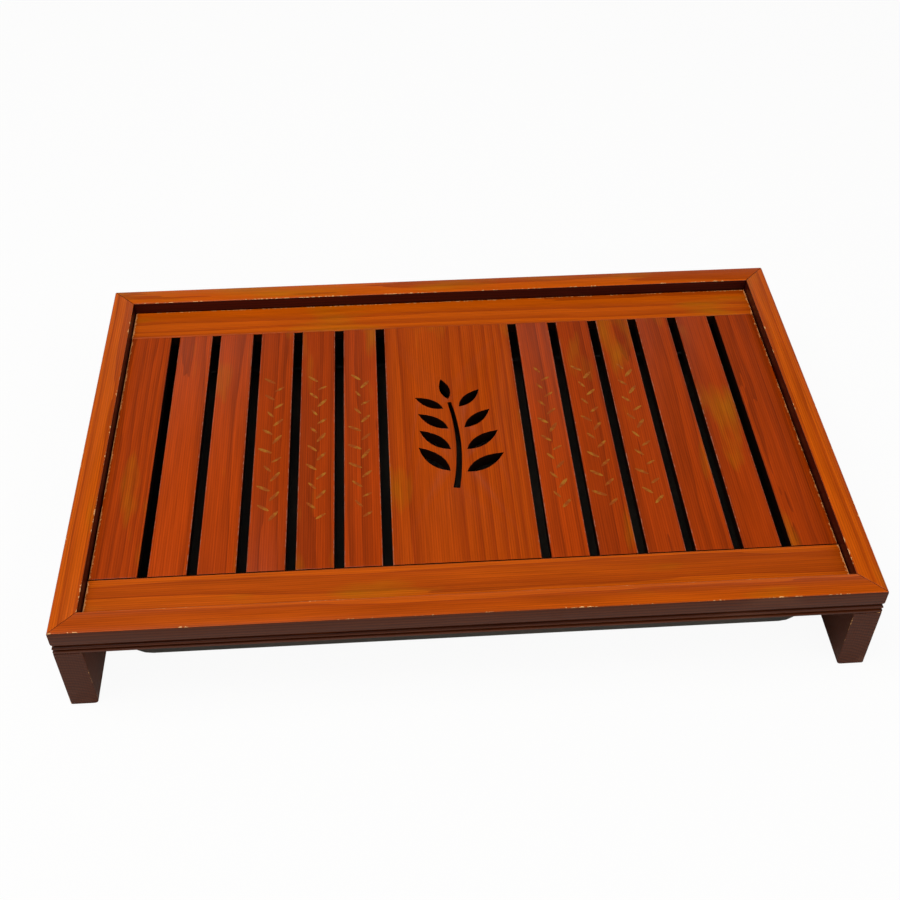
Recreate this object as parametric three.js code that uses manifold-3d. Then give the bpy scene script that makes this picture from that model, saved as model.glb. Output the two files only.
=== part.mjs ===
// Slatted tea tray: a mitred timber frame on two end boards, with a lift-out drip pan
// and a lift-out grid of slats above it. Millimetres, +Z up, X across the front, Y to the back.
// The origin is on the floor under the centre of the tray.
import * as THREE from 'three';
import { mergeVertices } from 'three/addons/utils/BufferGeometryUtils.js';
import Module from 'manifold-3d';

const wasm = await Module();
wasm.setup();

// Overall sizes
const trayLength = 480;
const trayDepth = 312;
const footHeight = 49.5;
const footThickness = 16.5;
const footCornerRadius = 3;

// Frame rails
const railHeight = 19;
const railWidth = 15;
const noseRadius = 2.5;
const grooveDepth = 1.8;
const grooveWidth = 1.5;
const beadWidth = 2;
const bottomStripHeight = 2;
const mitreGap = 0.15;

// Clearances
const fitGap = 0.3;
const liftOutGap = 0.75;

// Grid of slats
const recessDepth = 8;
const gridThickness = 8.5;
const gridRailWidth = 29;
const centrePanelWidth = 89;
const slatWidth = 23.1;
const slotWidth = 6;
const leastEndSlatWidth = 14;
const tenonLength = 7.5;
const tenonThickness = 3.5;
const tenonShoulder = 3;
const edgeEase = 0.6;

// Drip pan
const panRimThickness = 2.5;
const panWall = 2;
const panDraft = 3;
const panCornerRadius = 20;
const panRimCornerRadius = 6;
const panFillet = 5;
const panFloorClearance = 9;
const panToLedgerGap = 1;

// Ledger strips that carry the pan
const longLedgerWidth = 14;
const longLedgerThickness = 8;
const ledgerReach = 6.5;
const sideLedgerThickness = 7;
const sideLedgerHeight = 10;

// Dowels, biscuits and screws
const dowelRadius = 3;
const dowelInFoot = 15;
const dowelInRail = 9;
const dowelSpacing = 100;
const dowelChamfer = 0.8;
const biscuitAlong = 8;
const biscuitAcross = 9;
const biscuitThickness = 3;
const biscuitDrop = 6.5;
const screwLength = 16;
const screwRadius = 1.75;
const screwHeadRadius = 3.4;
const screwHeadHeight = 2;
const screwTip = 3;
const longScrewSpacing = 150;
const sideScrewSpacing = 160;
const screwInset = 4;

// Pierced sprig in the centre panel
const stemFootHeight = -50;
const stemWidth = 4.2;
const stemTipWidth = 2.6;
const stemBow = 5;
const leafPairs = 4;
const leafLength = 31;
const leafTipLength = 21;
const leafWidth = 10.5;
const leafAngle = 0.86;
const leafBridge = 3.2;
const leafBelly = 0.42;
const leafSteps = 6;
const stemTipHeight = 30;

// How far a cutting shape runs past the face that it opens
const cutOverrun = 1;

// Worked-out levels and lines
const halfLength = trayLength / 2;
const halfDepth = trayDepth / 2;
const trayTop = footHeight + railHeight;
const gridTop = trayTop - recessDepth;
const gridBottom = gridTop - gridThickness;
const panRimBottom = gridBottom - panRimThickness;
const insideLength = trayLength - 2 * railWidth;
const insideDepth = trayDepth - 2 * railWidth;
const gridLength = insideLength - 2 * liftOutGap;
const gridDepth = insideDepth - 2 * liftOutGap;
const slatLength = gridDepth - 2 * gridRailWidth;
const betweenFeet = trayLength - 2 * footThickness;
const slatPitch = slatWidth + slotWidth;
const besidePanel = (gridLength - centrePanelWidth) / 2 - slotWidth;
const slatsPerSide = Math.floor((besidePanel - leastEndSlatWidth) / slatPitch);

const lacqueredPine = new THREE.MeshStandardMaterial({ color: '#b4500c', roughness: 0.3, metalness: 0 });
const redderPine = new THREE.MeshStandardMaterial({ color: '#9a3a0c', roughness: 0.32, metalness: 0 });
const stainedPine = new THREE.MeshStandardMaterial({ color: '#54301f', roughness: 0.4, metalness: 0 });
const rawPine = new THREE.MeshStandardMaterial({ color: '#c79a63', roughness: 0.8, metalness: 0 });
const blackPlastic = new THREE.MeshStandardMaterial({ color: '#1f1b15', roughness: 0.35, metalness: 0 });
const zincPlate = new THREE.MeshStandardMaterial({ color: '#a9a9a4', roughness: 0.35, metalness: 0.9 });

// Turns a closed geometry into a solid for cutting and joining.
function solid(geometry) {
  const bare = geometry.index ? geometry.toNonIndexed() : geometry.clone();
  bare.deleteAttribute('normal');
  bare.deleteAttribute('uv');
  const merged = mergeVertices(bare, 1e-4);
  return new wasm.Manifold(new wasm.Mesh({
    numProp: 3,
    vertProperties: merged.attributes.position.array,
    triVerts: new Uint32Array(merged.index.array),
  }));
}

// Turns a solid back into a geometry with flat-shaded faces.
function geometryOf(body) {
  const mesh = body.getMesh();
  const geometry = new THREE.BufferGeometry();
  geometry.setAttribute('position', new THREE.BufferAttribute(mesh.vertProperties, 3));
  geometry.setIndex(new THREE.BufferAttribute(mesh.triVerts, 1));
  geometry.computeVertexNormals();
  return geometry;
}

function cut(body, tools) {
  return tools.reduce((rest, tool) => rest.subtract(tool), body);
}

// A box given by its lowest and highest corners.
function block(low, high) {
  const size = high.map((value, axis) => value - low[axis]);
  const middle = high.map((value, axis) => (value + low[axis]) / 2);
  return new THREE.BoxGeometry(...size).translate(...middle);
}

// Places a finished piece in its group under its own name.
function place(group, name, body, material) {
  const geometry = body.isBufferGeometry ? body : geometryOf(body);
  const piece = new THREE.Mesh(geometry, material);
  piece.name = name;
  group.add(piece);
  return piece;
}

// Extrudes a section drawn in (inward, up) along X, centred on X = 0.
function runAlongX(section, length) {
  const settings = { depth: length, bevelEnabled: false, curveSegments: 4 };
  const geometry = new THREE.ExtrudeGeometry(section, settings);
  return geometry.translate(0, 0, -length / 2).rotateY(Math.PI / 2).rotateX(Math.PI / 2);
}

// Moulded section of the frame: rounded nose over a groove, a bead and a second groove.
function railSection() {
  const bottom = footHeight;
  const lowGroove = bottom + bottomStripHeight;
  const bead = lowGroove + grooveWidth;
  const highGroove = bead + beadWidth;
  const band = highGroove + grooveWidth;
  const section = new THREE.Shape();
  section.moveTo(edgeEase, bottom);
  section.lineTo(0, bottom + edgeEase);
  section.lineTo(0, lowGroove);
  section.lineTo(grooveDepth, lowGroove);
  section.lineTo(grooveDepth, bead);
  section.quadraticCurveTo(0, bead, 0, bead + beadWidth / 2);
  section.quadraticCurveTo(0, highGroove, grooveDepth, highGroove);
  section.lineTo(grooveDepth, band);
  section.quadraticCurveTo(0, band, 0, band + noseRadius);
  section.lineTo(0, trayTop - noseRadius / 2);
  section.quadraticCurveTo(0, trayTop, noseRadius / 2, trayTop);
  section.lineTo(railWidth - edgeEase, trayTop);
  section.lineTo(railWidth, trayTop - edgeEase);
  section.lineTo(railWidth, bottom);
  section.closePath();
  return section;
}

// A rail of the moulded section, with both ends mitred.
function rail(length) {
  const geometry = runAlongX(railSection(), length);
  const position = geometry.attributes.position;
  for (let i = 0; i < position.count; i += 1) {
    const side = Math.sign(position.getX(i));
    position.setX(i, side * (length / 2 - position.getY(i) - mitreGap));
  }
  return solid(geometry);
}

// A turned piece standing on Z = 0, from its (radius, height) profile.
function turned(profile, sides = 14) {
  const points = profile.map(([radius, height]) => new THREE.Vector2(radius, height));
  return new THREE.LatheGeometry(points, sides).rotateX(Math.PI / 2);
}

function dowelProfile(gap) {
  const radius = dowelRadius + gap;
  const length = dowelInFoot + dowelInRail;
  return [[0, -dowelInFoot], [radius - dowelChamfer, -dowelInFoot], [radius, dowelChamfer - dowelInFoot],
    [radius, length - dowelInFoot - dowelChamfer + gap], [radius - dowelChamfer, length - dowelInFoot + gap],
    [0, length - dowelInFoot + gap]];
}

function dowel(gap, along) {
  return solid(turned(dowelProfile(gap)).translate(along, railWidth / 2, footHeight));
}

// A countersunk wood screw: head at Z = 0, point upwards. The hole for it starts below the head.
function screwProfile(gap) {
  const mouth = gap > 0 ? [[0, -cutOverrun], [screwHeadRadius + gap, -cutOverrun]] : [[0, 0]];
  return [...mouth, [screwHeadRadius + gap, 0], [screwRadius + gap, screwHeadHeight],
    [screwRadius + gap, screwLength - screwTip], [0, screwLength + gap]];
}

function screwUp(gap, along, inward, height) {
  return solid(turned(screwProfile(gap)).translate(along, inward, height));
}

function screwOut(gap, along, inward, height) {
  return solid(turned(screwProfile(gap)).rotateX(Math.PI / 2).translate(along, inward, height));
}

// A flat biscuit across a mitre, seen from the rail that runs along X.
function biscuit(gap, end, length) {
  const size = [biscuitAlong + 2 * gap, biscuitAcross + 2 * gap, biscuitThickness + 2 * gap];
  const geometry = new THREE.BoxGeometry(...size).rotateZ(end * 0.75 * Math.PI);
  return solid(geometry.translate(end * (length / 2 - railWidth / 2), railWidth / 2, trayTop - biscuitDrop));
}

// Front or back: a rail with its ledger strip, the screws between them and two mitre biscuits.
function longSide(name) {
  const group = new THREE.Group();
  const ledgerInner = railWidth + ledgerReach;
  const ledgerOuter = ledgerInner - longLedgerWidth;
  const ledgerBottom = panRimBottom - longLedgerThickness;
  const ledgerHalf = betweenFeet / 2 - fitGap;
  const screwLine = ledgerOuter + screwInset;
  const screws = [-longScrewSpacing, 0, longScrewSpacing];
  const holes = screws.map((along) => screwUp(fitGap, along, screwLine, ledgerBottom));
  const biscuitSlots = [-1, 1].map((end) => biscuit(fitGap, end, trayLength));
  place(group, `${name}_rail`, cut(rail(trayLength), [...holes, ...biscuitSlots]), lacqueredPine);
  const strip = block([-ledgerHalf, ledgerOuter, ledgerBottom], [ledgerHalf, ledgerInner, panRimBottom]);
  place(group, `${name}_ledger`, cut(solid(strip), holes), rawPine);
  screws.forEach((along, i) => {
    place(group, `${name}_ledger_screw_${i + 1}`, screwUp(0, along, screwLine, ledgerBottom), zincPlate);
  });
  ['left', 'right'].forEach((hand, i) => {
    place(group, `${name}_mitre_biscuit_${hand}`, biscuit(0, 2 * i - 1, trayLength), rawPine);
  });
  return group;
}

function footSection() {
  const section = new THREE.Shape();
  section.moveTo(edgeEase, 0);
  section.lineTo(0, edgeEase);
  section.lineTo(0, footHeight);
  section.lineTo(footThickness, footHeight);
  section.lineTo(footThickness, footCornerRadius);
  section.quadraticCurveTo(footThickness, 0, footThickness - footCornerRadius, 0);
  section.closePath();
  return section;
}

// Left or right: a rail on its end board, the dowels between them, and a screwed ledger strip.
function endSide(name) {
  const group = new THREE.Group();
  const dowels = [-dowelSpacing, 0, dowelSpacing];
  const dowelHoles = dowels.map((along) => dowel(fitGap, along));
  const biscuitSlots = [-1, 1].map((end) => biscuit(fitGap, end, trayDepth));
  place(group, `${name}_rail`, cut(rail(trayDepth), [...dowelHoles, ...biscuitSlots]), lacqueredPine);
  const ledgerInner = footThickness + sideLedgerThickness;
  const ledgerHalf = halfDepth - railWidth - ledgerReach - fitGap;
  const ledgerBottom = panRimBottom - sideLedgerHeight;
  const screwLevel = panRimBottom - sideLedgerHeight / 2;
  const screws = [-sideScrewSpacing / 2, sideScrewSpacing / 2];
  const holes = screws.map((along) => screwOut(fitGap, along, ledgerInner, screwLevel));
  const board = solid(runAlongX(footSection(), trayDepth));
  place(group, `${name}_end_board`, cut(board, [...dowelHoles, ...holes]), stainedPine);
  const strip = block([-ledgerHalf, footThickness, ledgerBottom], [ledgerHalf, ledgerInner, panRimBottom]);
  place(group, `${name}_ledger`, cut(solid(strip.translate(0, fitGap, 0)), holes), rawPine);
  dowels.forEach((along, i) => place(group, `${name}_dowel_${i + 1}`, dowel(0, along), rawPine));
  screws.forEach((along, i) => {
    place(group, `${name}_ledger_screw_${i + 1}`, screwOut(0, along, ledgerInner, screwLevel), zincPlate);
  });
  return group;
}

// One ring of the pan: a rectangle with round corners at a given height.
function panRing(halfX, halfY, radius, height) {
  const points = [];
  const steps = 6;
  [[1, 1, 0], [-1, 1, 1], [-1, -1, 2], [1, -1, 3]].forEach(([sideX, sideY, quarter]) => {
    for (let i = 0; i <= steps; i += 1) {
      const angle = (quarter + i / steps) * (Math.PI / 2);
      points.push([sideX * (halfX - radius) + radius * Math.cos(angle),
        sideY * (halfY - radius) + radius * Math.sin(angle), height]);
    }
  });
  return points;
}

// The drip pan: a vacuum-formed tub with a flat rim that rests on the ledger strips.
function dripPan() {
  const topX = betweenFeet / 2 - fitGap - sideLedgerThickness - panToLedgerGap;
  const topY = halfDepth - railWidth - ledgerReach - panToLedgerGap;
  const floor = panFloorClearance;
  const rimTop = gridBottom;
  const rings = [];
  const wallRing = (inset, level) => {
    const share = (rimTop - level) / (rimTop - floor);
    const lean = inset + panDraft * share;
    rings.push(panRing(topX - lean, topY - lean, panCornerRadius - inset, level));
  };
  const filletRing = (inset, level, radius, angle) => {
    const back = radius * (1 - Math.cos(angle));
    const lean = inset + panDraft + back;
    const height = level + radius * (1 - Math.sin(angle));
    rings.push(panRing(topX - lean, topY - lean, panCornerRadius - inset - back, height));
  };
  const turns = [Math.PI / 2, Math.PI / 3, Math.PI / 6, 0];
  turns.forEach((angle) => filletRing(0, floor, panFillet, angle));
  wallRing(0, panRimBottom);
  rings.push(panRing(gridLength / 2, gridDepth / 2, panRimCornerRadius, panRimBottom));
  rings.push(panRing(gridLength / 2, gridDepth / 2, panRimCornerRadius, rimTop));
  wallRing(panWall, rimTop);
  [...turns].reverse().forEach((angle) => filletRing(panWall, floor + panWall, panFillet - panWall, angle));
  return loft(rings);
}

// Joins rings into one closed surface, with a fan over the first and the last ring.
function loft(rings) {
  const count = rings[0].length;
  const vertices = rings.flat(2);
  const faces = [];
  for (let ring = 0; ring + 1 < rings.length; ring += 1) {
    for (let i = 0; i < count; i += 1) {
      const next = (i + 1) % count;
      const a = ring * count + i;
      const b = ring * count + next;
      faces.push(a, b, b + count, a, b + count, a + count);
    }
  }
  const addCap = (ring, flip) => {
    const centre = vertices.length / 3;
    vertices.push(0, 0, rings[ring][0][2]);
    for (let i = 0; i < count; i += 1) {
      const a = ring * count + i;
      const b = ring * count + ((i + 1) % count);
      faces.push(centre, flip ? b : a, flip ? a : b);
    }
  };
  addCap(0, true);
  addCap(rings.length - 1, false);
  const geometry = new THREE.BufferGeometry();
  geometry.setAttribute('position', new THREE.BufferAttribute(new Float32Array(vertices), 3));
  geometry.setIndex(faces);
  geometry.computeVertexNormals();
  return geometry;
}

// Leaf-shaped hole from its stalk end, pointing along an angle.
function leafHole(baseX, baseY, angle, length) {
  const at = (along, across) => [
    baseX + along * Math.cos(angle) - across * Math.sin(angle),
    baseY + along * Math.sin(angle) + across * Math.cos(angle),
  ];
  const width = leafWidth * (length / leafLength);
  const hole = new THREE.Path();
  hole.moveTo(...at(0, 0));
  hole.quadraticCurveTo(...at(leafBelly * length, width), ...at(length, 0));
  hole.quadraticCurveTo(...at(leafBelly * length, -width), ...at(0, 0));
  return hole;
}

// The stem is one long curved hole, with leaves on both sides and one at its tip.
function sprigHoles() {
  const foot = new THREE.Vector2(-stemBow / 2, stemFootHeight);
  const bend = new THREE.Vector2(stemBow, (stemFootHeight + stemTipHeight) / 2);
  const tip = new THREE.Vector2(-stemBow / 2, stemTipHeight);
  const line = new THREE.QuadraticBezierCurve(foot, bend, tip);
  const steps = 8;
  const edge = (side) => Array.from({ length: steps + 1 }, (_, i) => {
    const along = i / steps;
    const middle = line.getPoint(along);
    const tangent = line.getTangent(along);
    const half = THREE.MathUtils.lerp(stemWidth, stemTipWidth, along) / 2;
    return new THREE.Vector2(middle.x - side * half * tangent.y, middle.y + side * half * tangent.x);
  });
  const holes = [new THREE.Path([...edge(1), ...edge(-1).reverse()])];
  for (let pair = 0; pair < leafPairs; pair += 1) {
    const along = (pair + 0.5) / leafPairs;
    const middle = line.getPoint(along);
    const tangent = line.getTangent(along);
    const heading = Math.atan2(tangent.y, tangent.x);
    const length = THREE.MathUtils.lerp(leafLength, leafTipLength, along);
    [-1, 1].forEach((side) => {
      const angle = heading + side * leafAngle;
      const offset = (stemWidth / 2 + leafBridge) / Math.sin(leafAngle);
      const baseX = middle.x + offset * Math.cos(angle);
      const baseY = middle.y + offset * Math.sin(angle);
      holes.push(leafHole(baseX, baseY, angle, length));
    });
  }
  const tangent = line.getTangent(1);
  const heading = Math.atan2(tangent.y, tangent.x);
  const topX = tip.x + leafBridge * Math.cos(heading);
  const topY = tip.y + leafBridge * Math.sin(heading);
  holes.push(leafHole(topX, topY, heading, leafTipLength));
  return holes;
}

// Section of a board with its four long edges eased, drawn in (Y, Z) or (X, Z).
function easedBoard(halfWidth) {
  const section = new THREE.Shape();
  section.moveTo(-halfWidth + edgeEase, gridBottom);
  section.lineTo(halfWidth - edgeEase, gridBottom);
  section.lineTo(halfWidth, gridBottom + edgeEase);
  section.lineTo(halfWidth, gridTop - edgeEase);
  section.lineTo(halfWidth - edgeEase, gridTop);
  section.lineTo(-halfWidth + edgeEase, gridTop);
  section.lineTo(-halfWidth, gridTop - edgeEase);
  section.lineTo(-halfWidth, gridBottom + edgeEase);
  section.closePath();
  return section;
}

function tenon(width, gap, side) {
  const half = width / 2 - tenonShoulder + gap;
  const middle = (gridTop + gridBottom) / 2;
  const thick = tenonThickness / 2 + gap;
  const shoulder = slatLength / 2;
  const root = side * (shoulder - cutOverrun);
  const end = side * (shoulder + tenonLength + gap);
  const low = [-half, Math.min(root, end), middle - thick];
  const high = [half, Math.max(root, end), middle + thick];
  return solid(block(low, high));
}

// A board between the two grid rails, with a tenon at each end.
function slat(width, holes) {
  const body = solid(runAlongX(easedBoard(width / 2), slatLength - 2 * fitGap).rotateZ(Math.PI / 2));
  const whole = body.add(tenon(width, 0, -1)).add(tenon(width, 0, 1));
  return cut(whole, holes.map((hole) => {
    const outline = new THREE.Shape(hole.getPoints(leafSteps));
    const depth = gridThickness + 2 * cutOverrun;
    const plug = new THREE.ExtrudeGeometry(outline, { depth, bevelEnabled: false });
    return solid(plug.translate(0, 0, gridBottom - cutOverrun));
  }));
}

// Names, widths and centre lines of the boards, from left to right.
function boardPlan() {
  const endWidth = besidePanel - slatsPerSide * slatPitch;
  const plan = [{ name: 'centre_panel', width: centrePanelWidth, x: 0 }];
  [['left', -1], ['right', 1]].forEach(([hand, side]) => {
    for (let i = 0; i < slatsPerSide; i += 1) {
      const x = centrePanelWidth / 2 + slotWidth + slatWidth / 2 + i * slatPitch;
      plan.push({ name: `${hand}_slat_${i + 1}`, width: slatWidth, x: side * x });
    }
    plan.push({ name: `${hand}_end_slat`, width: endWidth, x: side * (gridLength - endWidth) / 2 });
  });
  return plan;
}

// The lift-out grid: two grid rails with stopped mortises and the boards between them.
function slatGrid() {
  const group = new THREE.Group();
  const plan = boardPlan();
  [['front', -1], ['back', 1]].forEach(([name, side]) => {
    const centre = side * (slatLength + gridRailWidth) / 2;
    const board = solid(runAlongX(easedBoard(gridRailWidth / 2), gridLength).translate(0, centre, 0));
    const mortises = plan.map(({ width, x }) => tenon(width, fitGap, side).translate(x, 0, 0));
    place(group, `${name}_grid_rail`, cut(board, mortises), lacqueredPine);
  });
  plan.forEach(({ name, width, x }) => {
    const holes = name === 'centre_panel' ? sprigHoles() : [];
    place(group, name, slat(width, holes), holes.length ? lacqueredPine : redderPine).position.x = x;
  });
  return group;
}

const teaTray = new THREE.Group();
teaTray.name = 'tea_tray';

const frontSide = longSide('front');
frontSide.position.set(0, -halfDepth, 0);
const backSide = longSide('back');
backSide.position.set(0, halfDepth, 0);
backSide.rotation.z = Math.PI;
const rightSide = endSide('right');
rightSide.position.set(halfLength, 0, 0);
rightSide.rotation.z = Math.PI / 2;
const leftSide = endSide('left');
leftSide.position.set(-halfLength, 0, 0);
leftSide.rotation.z = -Math.PI / 2;
teaTray.add(frontSide, backSide, rightSide, leftSide);
place(teaTray, 'drip_pan', dripPan(), blackPlastic);
teaTray.add(slatGrid());

export default teaTray;
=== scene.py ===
"""Looks of a slatted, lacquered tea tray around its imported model, laid out as an add-on."""
import math
import random

import bmesh
import bpy
from mathutils import Matrix, Vector


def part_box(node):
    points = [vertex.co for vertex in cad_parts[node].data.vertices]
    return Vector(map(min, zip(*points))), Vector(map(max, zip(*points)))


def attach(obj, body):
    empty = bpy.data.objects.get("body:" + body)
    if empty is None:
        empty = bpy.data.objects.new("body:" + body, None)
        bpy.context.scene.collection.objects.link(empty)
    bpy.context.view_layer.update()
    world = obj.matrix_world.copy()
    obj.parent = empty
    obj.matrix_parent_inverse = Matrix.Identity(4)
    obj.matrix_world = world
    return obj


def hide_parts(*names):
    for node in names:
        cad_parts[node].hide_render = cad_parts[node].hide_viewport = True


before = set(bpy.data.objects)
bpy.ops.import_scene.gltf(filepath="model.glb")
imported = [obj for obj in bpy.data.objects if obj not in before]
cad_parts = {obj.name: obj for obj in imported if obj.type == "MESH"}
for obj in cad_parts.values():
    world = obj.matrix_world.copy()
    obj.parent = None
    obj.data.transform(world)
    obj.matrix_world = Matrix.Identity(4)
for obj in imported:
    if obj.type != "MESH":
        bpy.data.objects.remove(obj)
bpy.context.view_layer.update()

bl_info = {
    "name": "Tea tray looks",
    "version": (1, 0, 0),
    "blender": (4, 5, 0),
    "location": "View3D > Sidebar > Tea tray",
    "description": "Lacquered timber, gilt sprigs and a black drip pan for a slatted tea tray",
    "category": "Object",
}

MM = 0.001

# The tray's four sides. The boards of the front and the back run along X, the others along Y
SIDES = ("front", "back", "left", "right")
ALONG_X = ("front", "back")
ENDS = ("left", "right")
INWARD = {"front": Vector((0, 1, 0)), "back": Vector((0, -1, 0)),
          "left": Vector((1, 0, 0)), "right": Vector((-1, 0, 0))}

# Corners closer than this are one corner, and faces bent less than this are one face
SAME_CORNER = 0.002 * MM
SAME_FACE = math.radians(0.6)

# The depth below a rail's top that still has the top's orange lacquer; lower faces get the colours of painted
# shade
TOP_BAND = 2 * MM

# Where a board may lie in its log, in mm: along it, across it, and above the pith
LOG_SPANS = ((-400, 400), (-30, 30), (28, 70))

# The spacing of the narrow growth rings and the rounding of some edges, in mm
NARROW_RING = 1.5
ARRIS_OF_PANEL = 0.25
ARRIS_OF_LEDGER = 0.4
ARRIS_OF_PAN = 0.5

# A wave texture of scale 1 repeats after this many units
WAVE_STEP = 0.314

# Slats differ in how dark their lacquer came out
SLAT_SHADES = (0.0, 0.4)
SLAT_SEED = 12

# Three slats at each side of the panel carry a gilt column
GILT_COLUMNS = [f"{hand}_slat_{number}" for hand in ENDS for number in (1, 2, 3)]
GILT_CLEARANCE = 0.05 * MM
GILT_THICKNESS = 0.04 * MM

# Places of the Mix node's sockets, which share their names
FACTOR = 0
NUMBER_A = 2
NUMBER_B = 3
COLOUR_A = 6
COLOUR_B = 7
NUMBER_OUT = 0
COLOUR_OUT = 2

# Places of the Random Value node's float sockets
LEAST = 2
MOST = 3
RANDOM_NUMBER = 1

# Half the floor's side in metres, and the share of pure white that the camera sees in it
FLOOR_REACH = 6.0
FLOOR_WHITE = 0.94
# The studio's two lamps: name, place and side in metres, and share of the key light's power
LAMPS = (
    ("key", (-0.5, -0.2, 1.5), 1.0, 1.0),
    ("fill", (0.9, -1.1, 1.1), 1.2, 0.5),
)


def linear(hex_colour):
    """An sRGB hex colour as linear RGBA."""
    values = [int(hex_colour[i:i + 2], 16) / 255 for i in (1, 3, 5)]
    return [v / 12.92 if v <= 0.04045 else ((v + 0.055) / 1.055) ** 2.4 for v in values] + [1.0]


BARE_PINE = linear("#DDA266")
RUBBED_RIM = linear("#D58C52")
# Painted highlight: the light line where light catches the arrises of the slats and the panel
PAINTED_ARRIS_HIGHLIGHT = linear("#A8664E")


def add(tree, kind, inputs=None, **settings):
    """Adds a node with its settings, and sets or links its inputs."""
    node = tree.nodes.new(kind)
    for name, value in settings.items():
        setattr(node, name, value)
    for key, value in (inputs or {}).items():
        if isinstance(value, bpy.types.Node):
            tree.links.new(value.outputs[0], node.inputs[key])
        elif isinstance(value, bpy.types.NodeSocket):
            tree.links.new(value, node.inputs[key])
        else:
            node.inputs[key].default_value = value
    return node


def new_material(name):
    """An empty node material and its tree."""
    material = bpy.data.materials.new(name)
    material.use_nodes = True
    material.node_tree.nodes.clear()
    return material, material.node_tree


def growth_rings(tree, grain, ring_mm, waver):
    """Broad wavering rings, and narrow straight ones between them, as two masks."""
    # The rings run round the pith, which lies below the board and a little out of line with it
    log = add(tree, "ShaderNodeMapping", {"Vector": grain, "Rotation": (0, 0.035, 0.02),
              "Scale": (0.07, 1, 1)})
    broad = add(tree, "ShaderNodeTexWave", {"Vector": log, "Scale": WAVE_STEP / ring_mm,
                "Distortion": waver, "Detail": 3.0, "Detail Scale": 0.6},
                wave_type="RINGS", rings_direction="X", wave_profile="SAW")
    narrow = add(tree, "ShaderNodeTexWave", {"Vector": log, "Scale": WAVE_STEP / NARROW_RING,
                 "Distortion": 2.2, "Detail": 2.0, "Detail Scale": 0.25},
                 wave_type="BANDS", bands_direction="Y")
    return broad.outputs["Fac"], narrow.outputs["Fac"]


def edge_wear_or_highlight(tree, grain, chip_or_highlight_mm, spared):
    """A mask along the edges of its box, up to the given width in mm, more of it as spared falls: worn wood,
    or a painted arris highlight.
    """
    worn_place = add(tree, "ShaderNodeAttribute", attribute_name="worn_place").outputs["Vector"]
    worn_half = add(tree, "ShaderNodeAttribute", attribute_name="worn_half").outputs["Vector"]
    reach = add(tree, "ShaderNodeVectorMath", {0: worn_place}, operation="ABSOLUTE")
    inset = add(tree, "ShaderNodeVectorMath", {0: worn_half, 1: reach}, operation="SUBTRACT")
    x, y, z = add(tree, "ShaderNodeSeparateXYZ", {0: inset}).outputs
    # The middle one of the three distances is the distance to the nearest arris of the face
    lesser = add(tree, "ShaderNodeMath", {0: x, 1: y}, operation="MINIMUM")
    greater = add(tree, "ShaderNodeMath", {0: x, 1: y}, operation="MAXIMUM")
    capped = add(tree, "ShaderNodeMath", {0: greater, 1: z}, operation="MINIMUM")
    nearest = add(tree, "ShaderNodeMath", {0: lesser, 1: capped}, operation="MAXIMUM")
    # One noise tears the marks' outline, and a coarser one leaves whole stretches unmarked
    ragged = add(tree, "ShaderNodeTexNoise", {"Vector": grain, "Scale": 0.55, "Detail": 3.0})
    bite = add(tree, "ShaderNodeMapRange", {"Value": ragged, "From Min": spared - 0.05, "From Max": 0.72,
               "To Min": 0.0, "To Max": chip_or_highlight_mm})
    sparse = add(tree, "ShaderNodeTexNoise", {"Vector": grain, "Scale": 0.045, "Detail": 2.0})
    here = add(tree, "ShaderNodeMapRange", {"Value": sparse, "From Min": spared,
               "From Max": spared + 0.13})
    width = add(tree, "ShaderNodeMath", {0: bite, 1: here}, operation="MULTIPLY")
    return add(tree, "ShaderNodeMath", {0: nearest, 1: width}, operation="LESS_THAN")


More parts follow.
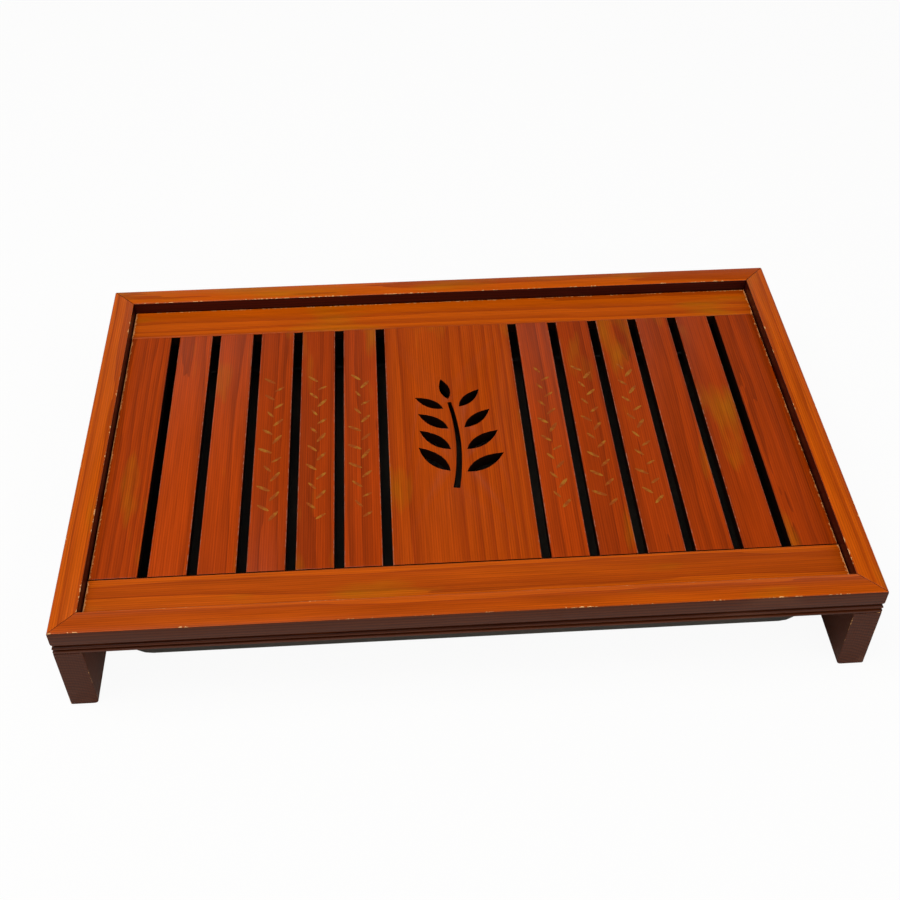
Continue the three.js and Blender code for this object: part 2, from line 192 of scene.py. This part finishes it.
def lacquered_wood(name, light, dark, deep, patch, gloss, chip_or_highlight_mm=0.0, ring_mm=2.4, bare_or_highlight=BARE_PINE,
                   waver=5.0, spared=0.47):
    """Flat-sawn pine under brushed lacquer: growth rings, fine streaks, honey patches, and worn edges or
    painted arris highlights.
    """
    material, tree = new_material(name)
    board = add(tree, "ShaderNodeAttribute", attribute_name="board").outputs["Vector"]
    log_place = add(tree, "ShaderNodeAttribute", attribute_name="log_place").outputs["Vector"]
    shade = add(tree, "ShaderNodeAttribute", attribute_name="shade").outputs["Fac"]
    grain = add(tree, "ShaderNodeVectorMath", {0: board, 1: log_place}, operation="ADD")
    broad, narrow = growth_rings(tree, grain, ring_mm, waver)
    ring_tone = add(tree, "ShaderNodeMapRange", {"Value": broad, "From Min": 0.35, "From Max": 1.0,
                    "To Max": 0.8})
    late = add(tree, "ShaderNodeMix", {FACTOR: ring_tone, COLOUR_A: light, COLOUR_B: dark},
               data_type="RGBA")
    deeper = add(tree, "ShaderNodeMix", {FACTOR: shade, COLOUR_A: late.outputs[COLOUR_OUT],
                 COLOUR_B: deep}, data_type="RGBA")
    # The lacquer lies thicker and thinner over areas some centimetres wide
    brushing = add(tree, "ShaderNodeMapping", {"Vector": grain, "Scale": (0.009, 0.035, 0.035)})
    cloud = add(tree, "ShaderNodeTexNoise", {"Vector": brushing, "Scale": 1.0, "Detail": 3.0})
    patchy = add(tree, "ShaderNodeMapRange", {"Value": cloud, "From Min": 0.56, "From Max": 0.72,
                 "To Max": 0.55})
    honey = add(tree, "ShaderNodeMix", {FACTOR: patchy, COLOUR_A: deeper.outputs[COLOUR_OUT],
                COLOUR_B: patch}, data_type="RGBA")
    # Tracheids show as streaks about a millimetre apart
    fibre = add(tree, "ShaderNodeMapping", {"Vector": grain, "Scale": (0.018, 0.95, 0.95)})
    streak = add(tree, "ShaderNodeTexNoise", {"Vector": fibre, "Scale": 1.0, "Detail": 4.0,
                 "Roughness": 0.65})
    thick = add(tree, "ShaderNodeMapRange", {"Value": streak, "From Min": 0.3, "From Max": 0.7,
                "To Min": 0.76, "To Max": 1.14})
    lines = add(tree, "ShaderNodeMapRange", {"Value": narrow, "From Min": 0.55, "From Max": 1.0,
                "To Min": 1.0, "To Max": 0.8})
    fine = add(tree, "ShaderNodeMath", {0: thick, 1: lines}, operation="MULTIPLY")
    streaked = add(tree, "ShaderNodeMix", {FACTOR: 1.0, COLOUR_A: honey.outputs[COLOUR_OUT],
                   COLOUR_B: fine}, data_type="RGBA", blend_type="MULTIPLY")
    # Edge marks: worn wood on most boards, a painted arris highlight on the slats and the panel
    chipped_or_highlit = edge_wear_or_highlight(tree, grain, chip_or_highlight_mm, spared)
    bared = add(tree, "ShaderNodeMix", {FACTOR: chipped_or_highlit, COLOUR_A: streaked.outputs[COLOUR_OUT],
                COLOUR_B: bare_or_highlight}, data_type="RGBA")
    rough = add(tree, "ShaderNodeMapRange", {"Value": streak, "To Min": gloss - 0.05,
                "To Max": gloss + 0.12})
    dull = add(tree, "ShaderNodeMix", {FACTOR: chipped_or_highlit, NUMBER_A: rough, NUMBER_B: 0.65},
               data_type="FLOAT")
    relief = add(tree, "ShaderNodeMath", {0: broad, 1: streak}, operation="ADD")
    bump = add(tree, "ShaderNodeBump", {"Height": relief, "Strength": 0.22, "Distance": 0.15 * MM})
    shader = add(tree, "ShaderNodeBsdfPrincipled", {"Base Color": bared.outputs[COLOUR_OUT],
                 "Roughness": dull.outputs[NUMBER_OUT], "Normal": bump, "IOR": 1.5,
                 "Specular IOR Level": 0.12, "Coat Weight": 0.03, "Coat Roughness": 0.14})
    add(tree, "ShaderNodeOutputMaterial", {"Surface": shader})
    return material


def black_pan_plastic(name, colour):
    """Vacuum-formed polystyrene: near black, a soft sheen, and a faint orange peel from the sheet."""
    material, tree = new_material(name)
    place = add(tree, "ShaderNodeTexCoord").outputs["Object"]
    peel = add(tree, "ShaderNodeTexNoise", {"Vector": place, "Scale": 420.0, "Detail": 2.0})
    film = add(tree, "ShaderNodeTexNoise", {"Vector": place, "Scale": 22.0, "Detail": 5.0})
    tone = add(tree, "ShaderNodeMapRange", {"Value": film, "From Min": 0.35, "From Max": 0.7})
    # A faint brown film lies on the plastic in places
    tint = add(tree, "ShaderNodeMix", {FACTOR: tone, COLOUR_A: colour, COLOUR_B: linear("#332C22")},
               data_type="RGBA")
    rough = add(tree, "ShaderNodeMapRange", {"Value": film, "To Min": 0.3, "To Max": 0.52})
    bump = add(tree, "ShaderNodeBump", {"Height": peel, "Strength": 0.12, "Distance": 0.1 * MM})
    shader = add(tree, "ShaderNodeBsdfPrincipled", {"Base Color": tint.outputs[COLOUR_OUT],
                 "Roughness": rough, "Normal": bump, "IOR": 1.55})
    add(tree, "ShaderNodeOutputMaterial", {"Surface": shader})
    return material


def zinc_plate(name):
    """Bright zinc-plated steel with the faint mottle of its passivation."""
    material, tree = new_material(name)
    place = add(tree, "ShaderNodeTexCoord").outputs["Object"]
    mottle = add(tree, "ShaderNodeTexNoise", {"Vector": place, "Scale": 900.0, "Detail": 3.0})
    rough = add(tree, "ShaderNodeMapRange", {"Value": mottle, "To Min": 0.28, "To Max": 0.5})
    tint = add(tree, "ShaderNodeMix", {FACTOR: mottle, COLOUR_A: linear("#B4B4AE"),
               COLOUR_B: linear("#8F908C")}, data_type="RGBA")
    shader = add(tree, "ShaderNodeBsdfPrincipled", {"Base Color": tint.outputs[COLOUR_OUT],
                 "Roughness": rough, "Metallic": 1.0})
    add(tree, "ShaderNodeOutputMaterial", {"Surface": shader})
    return material


def faded_gilt(name, colour):
    """Bronze-powder gilding rubbed thin: broken patches let the lacquer's brown through."""
    material, tree = new_material(name)
    place = add(tree, "ShaderNodeTexCoord").outputs["Object"]
    rubbed = add(tree, "ShaderNodeTexNoise", {"Vector": place, "Scale": 260.0, "Detail": 4.0})
    worn = add(tree, "ShaderNodeMapRange", {"Value": rubbed, "From Min": 0.34, "From Max": 0.56,
               "To Min": 0.3})
    tint = add(tree, "ShaderNodeMix", {FACTOR: worn, COLOUR_A: colour, COLOUR_B: linear("#9A4304")},
               data_type="RGBA")
    shader = add(tree, "ShaderNodeBsdfPrincipled", {"Base Color": tint.outputs[COLOUR_OUT],
                 "Roughness": 0.42, "Metallic": 0.2, "IOR": 1.5, "Specular IOR Level": 0.25})
    add(tree, "ShaderNodeOutputMaterial", {"Surface": shader})
    return material


def flatten(piece, crease_deg=20):
    """Turns the evaluated piece into a plain mesh without modifiers, shaded smooth below the crease angle."""
    graph = bpy.context.evaluated_depsgraph_get()
    mesh = bpy.data.meshes.new_from_object(piece.evaluated_get(graph))
    piece.modifiers.clear()
    piece.data = mesh
    mesh.shade_smooth()
    mesh.set_sharp_from_angle(angle=math.radians(crease_deg))


def rounded_copy(node, suffix, arris_mm, least_bend_deg=30, crease_deg=20):
    """A CAD node's mesh, merged and with its arrises rounded, as a new object at the origin."""
    shape = bmesh.new()
    shape.from_mesh(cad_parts[node].data)
    bmesh.ops.remove_doubles(shape, verts=shape.verts, dist=SAME_CORNER)
    bmesh.ops.dissolve_limit(shape, angle_limit=SAME_FACE, verts=shape.verts, edges=shape.edges)
    mesh = bpy.data.meshes.new(node + suffix)
    shape.to_mesh(mesh)
    shape.free()
    mesh.materials.clear()
    piece = bpy.data.objects.new(node + suffix, mesh)
    bpy.context.scene.collection.objects.link(piece)
    bevel = piece.modifiers.new("arris", "BEVEL")
    bevel.width = arris_mm * MM
    bevel.segments = 2
    bevel.limit_method = "ANGLE"
    bevel.angle_limit = math.radians(least_bend_deg)
    bevel.use_clamp_overlap = True
    flatten(piece, crease_deg)
    return piece


def mark_grain(piece, node, shade, along_x, wear_or_highlight_box):
    """Stores where each point lies on its board and in the box of its edge marks, so that grain, wear and
    painted arris highlights follow them.
    """
    low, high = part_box(node)
    middle = (low + high) / 2
    wear_or_highlight_low, wear_or_highlight_high = wear_or_highlight_box or (low, high)
    wear_or_highlight_middle = (wear_or_highlight_low + wear_or_highlight_high) / 2
    worn_half = (wear_or_highlight_high - wear_or_highlight_low) / 2
    dice = random.Random(node)
    log_place = [dice.uniform(*span) for span in LOG_SPANS]
    order = (0, 1, 2) if along_x else (1, 0, 2)
    mesh = piece.data
    count = len(mesh.vertices)
    offsets = [(vertex.co[axis] - middle[axis]) / MM for vertex in mesh.vertices for axis in order]
    wear_or_highlight_offsets = [(vertex.co[axis] - wear_or_highlight_middle[axis]) / MM for vertex in mesh.vertices for axis in order]
    stored = {
        "board": ("FLOAT_VECTOR", "vector", offsets),
        "worn_place": ("FLOAT_VECTOR", "vector", wear_or_highlight_offsets),
        "worn_half": ("FLOAT_VECTOR", "vector", [worn_half[axis] / MM for axis in order] * count),
        "log_place": ("FLOAT_VECTOR", "vector", log_place * count),
        "shade": ("FLOAT", "value", [shade] * count),
    }
    for name, (kind, field, values) in stored.items():
        mesh.attributes.new(name, kind, "POINT").data.foreach_set(field, values)


def dress(node, body, materials, arris_mm, shade=0.0, along_x=False, pick=None, wear_or_highlight_box=None):
    """Puts a finished board in place of its CAD node. pick chooses a material for each face."""
    piece = rounded_copy(node, "_finished", arris_mm)
    mark_grain(piece, node, shade, along_x, wear_or_highlight_box)
    for material in materials:
        piece.data.materials.append(material)
    if pick:
        for face in piece.data.polygons:
            face.material_index = pick(face)
    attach(piece, body)
    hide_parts(node)


def thicken(piece, depth):
    """Gives flat leaves a little thickness downwards, as a closed skin."""
    shell = piece.modifiers.new("thickness", "SOLIDIFY")
    shell.thickness = depth
    shell.offset = -1
    flatten(piece)


def colour_property(name, hex_colour, description):
    """A colour that a user can change, written as sRGB hex and kept as linear RGBA."""
    return bpy.props.FloatVectorProperty(name=name, description=description, subtype="COLOR", size=4,
                                         min=0.0, max=1.0, default=linear(hex_colour))


class TrayFinish(bpy.types.PropertyGroup):
    """Colours of the timber's finish, of the painted shade on its sides and recess walls and of the pan, and
    the rounding of the boards' edges.
    """
    rail_light: colour_property("Rail, early wood", "#C85500", "Rails between the dark rings")
    rail_dark: colour_property("Rail, late wood", "#A03B00", "Dark rings of the rails")
    slat_light: colour_property("Slat, early wood", "#B43F00", "Slats between the dark rings")
    slat_dark: colour_property("Slat, late wood", "#8C2F00", "Dark rings of the slats")
    panel_light: colour_property("Panel, early wood", "#B64600", "Centre panel between the dark rings")
    panel_dark: colour_property("Panel, late wood", "#963300", "Dark rings of the centre panel")
    deep_red: colour_property("Deep lacquer", "#732000", "Where the lacquer lies thick")
    honey: colour_property("Thin lacquer", "#AC7000", "Where the lacquer lies thin")
    # Painted shade: the dark brown of the rails' outer faces and of the end boards
    shade_brown_light: colour_property("Stain, early wood", "#54260F", "Brown sides between the dark rings")
    shade_brown_dark: colour_property("Stain, late wood", "#34150A", "Dark rings of the brown sides")
    shade_brown_patch: colour_property("Thin stain", "#6E4430", "Where the brown stain lies thin")
    # Painted shade: the maroon of the rails' inner faces
    recess: colour_property("Recess wall", "#3E0D04", "Maroon inner faces of the rails")
    recess_dark: colour_property("Recess wall, late wood", "#240803", "Dark rings of the inner faces")
    recess_patch: colour_property("Thin recess lacquer", "#561A08", "Where the maroon lies thin")
    pan: colour_property("Pan", "#1E1A14", "Black plastic of the drip pan")
    arris: bpy.props.FloatProperty(name="Arris", description="Rounding of the boards' edges in mm",
                                   default=0.35, min=0.05, max=1.0)


class TrayOrnament(bpy.types.PropertyGroup):
    """Sizes and colour of the gilt sprigs on six of the slats."""
    gilt: colour_property("Gilt", "#B57F22", "Bronze powder of the leaves")
    column_length: bpy.props.FloatProperty(name="Column length", description="Length of a column of leaves",
                                           default=0.142, unit="LENGTH")
    leaf_length: bpy.props.FloatProperty(name="Leaf length", description="Length of one leaf",
                                         default=0.0095, unit="LENGTH")
    leaf_pitch: bpy.props.FloatProperty(name="Leaf pitch", description="Distance between leaves up the stem",
                                        default=0.0085, unit="LENGTH")


class TrayStage(bpy.types.PropertyGroup):
    """Camera and light."""
    lens: bpy.props.FloatProperty(name="Lens", description="Focal length on a 36 mm sensor",
                                  default=50.64, unit="CAMERA")
    camera_place: bpy.props.FloatVectorProperty(name="Camera", description="Camera position",
                                                default=(-0.04038, -0.59992, 0.63885), subtype="TRANSLATION")
    pitch: bpy.props.FloatProperty(name="Pitch", description="Downward tilt", default=0.7796, subtype="ANGLE")
    yaw: bpy.props.FloatProperty(name="Yaw", description="Turn about up", default=-0.0609, subtype="ANGLE")
    roll: bpy.props.FloatProperty(name="Roll", description="Turn about the view", default=0.0018,
                                  subtype="ANGLE")
    key_power: bpy.props.FloatProperty(name="Key light", description="Power of the key light", default=17.5,
                                       unit="POWER")
    sky: bpy.props.FloatProperty(name="Sky", description="Strength of the light from the sides", default=1.0)
    ceiling: bpy.props.FloatProperty(name="Ceiling", description="Strength of the light from above",
                                     default=0.12)


class TRAY_OT_frame_rails(bpy.types.Operator):
    """Makes the four moulded, mitred rails: orange lacquer on top, and painted shade below it, brown outside
    and maroon inside
    """
    bl_idname = "tray.frame_rails"
    bl_label = "Frame rails"

    def execute(self, context):
        finish = context.scene.tray_finish
        top = lacquered_wood("orange_lacquered_pine", finish.rail_light, finish.rail_dark,
                             finish.deep_red, finish.honey, gloss=0.3, chip_or_highlight_mm=1.1, ring_mm=3.2)
        # The brown and the maroon copies of the lacquer are painted shade
        outside = lacquered_wood("brown_lacquered_pine", finish.shade_brown_light, finish.shade_brown_dark,
                                 finish.shade_brown_dark, finish.shade_brown_patch, gloss=0.3, chip_or_highlight_mm=0.4)
        inside = lacquered_wood("maroon_lacquered_pine", finish.recess, finish.recess_dark,
                                finish.recess, finish.recess_patch, gloss=0.34, chip_or_highlight_mm=0.3)
        # A face looks a given way where the cosine of the angle between them is over this
        facing = 0.6
        for hand in SIDES:
            node = f"{hand}_rail"
            inward = INWARD[hand]
            top_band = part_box(node)[1].z - TOP_BAND

            # Faces up at the top take the orange, inward faces the maroon painted shade, and all others the
            # brown painted shade
            def pick(face):
                if face.normal.z > facing and face.center.z > top_band:
                    return 0
                return 2 if face.normal.dot(inward) > facing else 1
            dress(node, "frame", [top, outside, inside], finish.arris, shade=0.05,
                  along_x=hand in ALONG_X, pick=pick)
        return {"FINISHED"}


class TRAY_OT_end_boards(bpy.types.Operator):
    """Makes the two end boards that the tray stands on, dark brown as painted shade"""
    bl_idname = "tray.end_boards"
    bl_label = "End boards"

    def execute(self, context):
        finish = context.scene.tray_finish
        # Painted shade: the end boards take the dark brown of the rails' shaded sides
        painted_brown_shade = lacquered_wood("stained_pine", finish.shade_brown_light, finish.shade_brown_dark,
                               finish.shade_brown_dark, finish.shade_brown_patch, gloss=0.42, chip_or_highlight_mm=0.5, ring_mm=2.6)
        for hand in ENDS:
            dress(f"{hand}_end_board", "frame", [painted_brown_shade], finish.arris, shade=0.2)
        return {"FINISHED"}


class TRAY_OT_hidden_joinery(bpy.types.Operator):
    """Finishes the ledger strips, and gives the dowels, biscuits and screws their materials"""
    bl_idname = "tray.hidden_joinery"
    bl_label = "Hidden joinery"

    def execute(self, context):
        plain = lacquered_wood("planed_pine", linear("#D2A873"), linear("#B98850"), linear("#A87A48"),
                               linear("#DDB884"), gloss=0.6)
        zinc = zinc_plate("zinc_plated_steel")
        for hand in SIDES:
            dress(f"{hand}_ledger", "frame", [plain], ARRIS_OF_LEDGER,
                  along_x=hand in ALONG_X)
        for name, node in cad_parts.items():
            if "screw" in name or "dowel" in name or "biscuit" in name:
                node.data.materials.clear()
                node.data.materials.append(zinc if "screw" in name else plain)
        return {"FINISHED"}


class TRAY_OT_slat_grid(bpy.types.Operator):
    """Makes the lift-out grid: two grid rails, twelve slats and the pierced centre panel"""
    bl_idname = "tray.slat_grid"
    bl_label = "Slat grid"

    def execute(self, context):
        finish = context.scene.tray_finish
        rail = lacquered_wood("orange_grid_pine", finish.rail_light, finish.rail_dark,
                              finish.deep_red, finish.honey, gloss=0.3, chip_or_highlight_mm=1.7, ring_mm=2.8,
                              bare_or_highlight=RUBBED_RIM, spared=0.33)
        # The slats and the panel carry a painted highlight along their arrises as edge marks
        slat = lacquered_wood("red_brown_lacquered_pine", finish.slat_light, finish.slat_dark,
                              finish.deep_red, finish.honey, gloss=0.3, chip_or_highlight_mm=0.7, ring_mm=2.4,
                              bare_or_highlight=PAINTED_ARRIS_HIGHLIGHT, spared=0.3)
        rim_slat = lacquered_wood("rim_slat_pine", finish.slat_light, finish.slat_dark,
                                  finish.deep_red, finish.honey, gloss=0.3, chip_or_highlight_mm=1.7, ring_mm=2.4,
                                  bare_or_highlight=RUBBED_RIM, spared=0.33)
        panel = lacquered_wood("centre_panel_pine", finish.panel_light, finish.panel_dark,
                               finish.deep_red, finish.honey, gloss=0.28, chip_or_highlight_mm=0.7, ring_mm=4.6,
                               bare_or_highlight=PAINTED_ARRIS_HIGHLIGHT, waver=4.5, spared=0.3)
        # Painted shade: a near-black wood colour for every upright face of the grid
        wall_shade = lacquered_wood("black_stained_edge", linear("#1C0A05"), linear("#100502"),
                              linear("#100502"), linear("#240D06"), gloss=0.4)
        # Tops and bottoms are lacquered, and the walls of slots and leaf holes are near black as painted
        # shade
        facing = 0.5

        def pick(face):
            return 0 if abs(face.normal.z) > facing else 1
        # Lifting the grid out has rubbed its outer rim, and not the boards inside it
        grid_rim = (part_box("front_grid_rail")[0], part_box("back_grid_rail")[1])
        for hand in ALONG_X:
            dress(f"{hand}_grid_rail", "slat_grid", [rail, wall_shade], finish.arris,
                  shade=0.05, along_x=True, pick=pick, wear_or_highlight_box=grid_rim)
        dress("centre_panel", "slat_grid", [panel, wall_shade], ARRIS_OF_PANEL,
              shade=0.1, pick=pick)
        dice = random.Random(SLAT_SEED)
        for hand in ENDS:
            for node in sorted(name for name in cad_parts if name.startswith(f"{hand}_slat_")):
                dress(node, "slat_grid", [slat, wall_shade], finish.arris,
                      shade=dice.uniform(*SLAT_SHADES), pick=pick)
            dress(f"{hand}_end_slat", "slat_grid", [rim_slat, wall_shade], finish.arris,
                  shade=dice.uniform(*SLAT_SHADES), pick=pick, wear_or_highlight_box=grid_rim)
        return {"FINISHED"}


def sprig_column_tree(material):
    """Geometry nodes for one column of small leaves along a slat, right and left by turns."""
    tree = bpy.data.node_groups.new("gilt_sprig_column", "GeometryNodeTree")
    for name, kind in (("Length", "NodeSocketFloat"), ("Pitch", "NodeSocketFloat"),
                       ("Leaf Length", "NodeSocketFloat"), ("Seed", "NodeSocketInt"),
                       ("Start", "NodeSocketVector")):
        tree.interface.new_socket(name, in_out="INPUT", socket_type=kind)
    tree.interface.new_socket("Geometry", in_out="OUTPUT", socket_type="NodeSocketGeometry")
    given = add(tree, "NodeGroupInput").outputs
    # A line of points along the slat, one for each leaf
    steps = add(tree, "ShaderNodeMath", {0: given["Length"], 1: given["Pitch"]}, operation="DIVIDE")
    rise = add(tree, "ShaderNodeCombineXYZ", {"Y": given["Pitch"]})
    line = add(tree, "GeometryNodeMeshLine", {"Count": steps, "Start Location": given["Start"],
               "Offset": rise})
    # A leaf is a long thin oval that starts at its point
    disc = add(tree, "GeometryNodeMeshCircle", {"Vertices": 12, "Radius": 1.0}, fill_type="NGON")
    half = add(tree, "ShaderNodeMath", {0: given["Leaf Length"], 1: 0.5}, operation="MULTIPLY")
    thin = add(tree, "ShaderNodeMath", {0: given["Leaf Length"], 1: 0.12}, operation="MULTIPLY")
    size = add(tree, "ShaderNodeCombineXYZ", {"X": half, "Y": thin, "Z": 1.0})
    move = add(tree, "ShaderNodeCombineXYZ", {"X": half})
    leaf = add(tree, "GeometryNodeTransform", {"Geometry": disc, "Translation": move, "Scale": size})
    # Each leaf is turned a little off its heading and grows a little longer or shorter
    index = add(tree, "GeometryNodeInputIndex")
    odd = add(tree, "ShaderNodeMath", {0: index, 1: 2.0}, operation="MODULO")
    side = add(tree, "ShaderNodeMapRange", {"Value": odd, "To Min": 0.75, "To Max": math.pi - 0.75})
    spread = add(tree, "FunctionNodeRandomValue", {LEAST: -0.28, MOST: 0.28, "ID": index,
                 "Seed": given["Seed"]}, data_type="FLOAT")
    turn = add(tree, "ShaderNodeMath", {0: side, 1: spread.outputs[RANDOM_NUMBER]}, operation="ADD")
    heading = add(tree, "ShaderNodeCombineXYZ", {"Z": turn})
    grow = add(tree, "FunctionNodeRandomValue", {LEAST: 0.7, MOST: 1.1, "ID": index,
               "Seed": given["Seed"]}, data_type="FLOAT")
    leaves = add(tree, "GeometryNodeInstanceOnPoints", {"Points": line, "Instance": leaf,
                 "Rotation": heading, "Scale": grow.outputs[RANDOM_NUMBER]})
    plain = add(tree, "GeometryNodeRealizeInstances", {"Geometry": leaves})
    painted = add(tree, "GeometryNodeSetMaterial", {"Geometry": plain, "Material": material})
    add(tree, "NodeGroupOutput", {"Geometry": painted})
    return tree


class TRAY_OT_gilt_sprigs(bpy.types.Operator):
    """Lays a faded gilt column of small leaves on three slats at each side of the panel"""
    bl_idname = "tray.gilt_sprigs"
    bl_label = "Gilt sprigs"

    def execute(self, context):
        ornament = context.scene.tray_ornament
        tree = sprig_column_tree(faded_gilt("faded_gilt", ornament.gilt))
        sockets = {item.name: item.identifier for item in tree.interface.items_tree
                   if item.in_out == "INPUT"}
        for seed, node in enumerate(GILT_COLUMNS, start=1):
            low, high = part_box(node)
            column = bpy.data.objects.new(f"{node}_gilt", bpy.data.meshes.new(f"{node}_gilt"))
            context.scene.collection.objects.link(column)
            sprig = column.modifiers.new("sprig", "NODES")
            sprig.node_group = tree
            values = {
                "Length": ornament.column_length,
                "Pitch": ornament.leaf_pitch,
                "Leaf Length": ornament.leaf_length,
                "Seed": seed,
                "Start": ((low.x + high.x) / 2, -ornament.column_length / 2, high.z + GILT_CLEARANCE),
            }
            for name, value in values.items():
                sprig[sockets[name]] = value
            flatten(column)
            thicken(column, GILT_THICKNESS)
            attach(column, "slat_grid")
        return {"FINISHED"}


class TRAY_OT_drip_pan(bpy.types.Operator):
    """Makes the black vacuum-formed drip pan"""
    bl_idname = "tray.drip_pan"
    bl_label = "Drip pan"

    def execute(self, context):
        plastic = black_pan_plastic("vacuum_formed_black", context.scene.tray_finish.pan)
        piece = rounded_copy("drip_pan", "_moulded", ARRIS_OF_PAN, least_bend_deg=50, crease_deg=38)
        piece.data.materials.append(plastic)
        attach(piece, "drip_pan")
        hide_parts("drip_pan")
        return {"FINISHED"}


class TRAY_OT_stage(bpy.types.Operator):
    """Sets the pale floor, the soft studio light and the camera"""
    bl_idname = "tray.stage"
    bl_label = "Stage"

    def execute(self, context):
        settings = context.scene.tray_stage
        self.floor()
        self.sky(settings)
        self.lamps(settings)
        self.camera(settings)
        context.scene.view_settings.view_transform = "Standard"
        return {"FINISHED"}

    def floor(self):
        """A sweep that the camera sees as almost white, and that keeps the tray's shadow."""
        mesh = bpy.data.meshes.new("floor")
        reach = FLOOR_REACH
        corners = [(-reach, -reach, 0), (reach, -reach, 0), (reach, reach, 0), (-reach, reach, 0)]
        mesh.from_pydata(corners, [], [(0, 1, 2, 3)])
        floor = bpy.data.objects.new("floor", mesh)
        bpy.context.scene.collection.objects.link(floor)
        material, tree = new_material("white_sweep")
        rays = add(tree, "ShaderNodeLightPath")
        matte = add(tree, "ShaderNodeBsdfDiffuse", {"Color": linear("#E6E4E0")})
        white = add(tree, "ShaderNodeEmission", {"Color": (1, 1, 1, 1), "Strength": 1.0})
        seen = add(tree, "ShaderNodeMath", {0: rays.outputs["Is Camera Ray"], 1: FLOOR_WHITE},
                   operation="MULTIPLY")
        mixed = add(tree, "ShaderNodeMixShader", {0: seen, 1: matte, 2: white})
        add(tree, "ShaderNodeOutputMaterial", {"Surface": mixed})
        mesh.materials.append(material)

    def sky(self, settings):
        """A studio that is white at the horizon and has a dim ceiling, so flat lacquer keeps its colour."""
        world = bpy.data.worlds.new("studio")
        bpy.context.scene.world = world
        world.use_nodes = True
        tree = world.node_tree
        tree.nodes.clear()
        direct = add(tree, "ShaderNodeLightPath").outputs["Is Camera Ray"]
        heading = add(tree, "ShaderNodeTexCoord").outputs["Generated"]
        height = add(tree, "ShaderNodeSeparateXYZ", {0: heading}).outputs["Z"]
        ceiling = add(tree, "ShaderNodeMapRange", {"Value": height, "From Min": 0.15, "From Max": 0.6,
                      "To Min": settings.sky, "To Max": settings.ceiling})
        level = add(tree, "ShaderNodeMix", {FACTOR: direct, NUMBER_A: ceiling, NUMBER_B: 1.0},
                    data_type="FLOAT")
        sky = add(tree, "ShaderNodeBackground", {"Color": (1, 1, 1, 1),
                  "Strength": level.outputs[NUMBER_OUT]})
        add(tree, "ShaderNodeOutputWorld", {"Surface": sky})

    def lamps(self, settings):
        """Two large soft lamps that face the tray."""
        for name, place, side, share in LAMPS:
            lamp = bpy.data.lights.new(name, "AREA")
            lamp.energy = settings.key_power * share
            lamp.size = side
            light = bpy.data.objects.new(name, lamp)
            light.location = place
            light.rotation_euler = (-Vector(place)).to_track_quat("-Z", "Y").to_euler()
            bpy.context.scene.collection.objects.link(light)

    def camera(self, settings):
        """The camera that a fit to the tray's corners in the photograph gives."""
        pitch, yaw, roll = settings.pitch, settings.yaw, settings.roll
        ahead = Vector((-math.sin(yaw) * math.cos(pitch), math.cos(yaw) * math.cos(pitch), -math.sin(pitch)))
        level = Vector((math.cos(yaw), math.sin(yaw), 0))
        upright = Vector((-math.sin(yaw) * math.sin(pitch), math.cos(yaw) * math.sin(pitch), math.cos(pitch)))
        right = math.cos(roll) * level - math.sin(roll) * upright
        up = math.sin(roll) * level + math.cos(roll) * upright
        data = bpy.data.cameras.new("camera")
        data.sensor_width = 36.0
        data.lens = settings.lens
        camera = bpy.data.objects.new("camera", data)
        turn = Matrix((right, up, -ahead)).transposed().to_4x4()
        camera.matrix_world = Matrix.Translation(settings.camera_place) @ turn
        bpy.context.scene.collection.objects.link(camera)
        bpy.context.scene.camera = camera


OPERATORS = (TRAY_OT_stage, TRAY_OT_frame_rails, TRAY_OT_end_boards, TRAY_OT_hidden_joinery,
             TRAY_OT_slat_grid, TRAY_OT_gilt_sprigs, TRAY_OT_drip_pan)
GROUPS = {"tray_finish": TrayFinish, "tray_ornament": TrayOrnament, "tray_stage": TrayStage}


class TRAY_PT_panel(bpy.types.Panel):
    """Lists the tray's steps and settings"""
    bl_idname = "TRAY_PT_panel"
    bl_label = "Tea tray"
    bl_space_type = "VIEW_3D"
    bl_region_type = "UI"
    bl_category = "Tea tray"

    def draw(self, context):
        for place, kind in GROUPS.items():
            for name in kind.__annotations__:
                self.layout.prop(getattr(context.scene, place), name)
        for operator in OPERATORS:
            self.layout.operator(operator.bl_idname)


def register():
    for kind in (*GROUPS.values(), *OPERATORS, TRAY_PT_panel):
        bpy.utils.register_class(kind)
    for name, kind in GROUPS.items():
        setattr(bpy.types.Scene, name, bpy.props.PointerProperty(type=kind))


def unregister():
    for name in GROUPS:
        delattr(bpy.types.Scene, name)
    for kind in (TRAY_PT_panel, *reversed(OPERATORS), *reversed(list(GROUPS.values()))):
        bpy.utils.unregister_class(kind)


def main():
    register()
    bpy.ops.tray.stage()
    bpy.ops.tray.frame_rails()
    bpy.ops.tray.end_boards()
    bpy.ops.tray.hidden_joinery()
    bpy.ops.tray.slat_grid()
    bpy.ops.tray.gilt_sprigs()
    bpy.ops.tray.drip_pan()


if __name__ == "__main__":
    main()
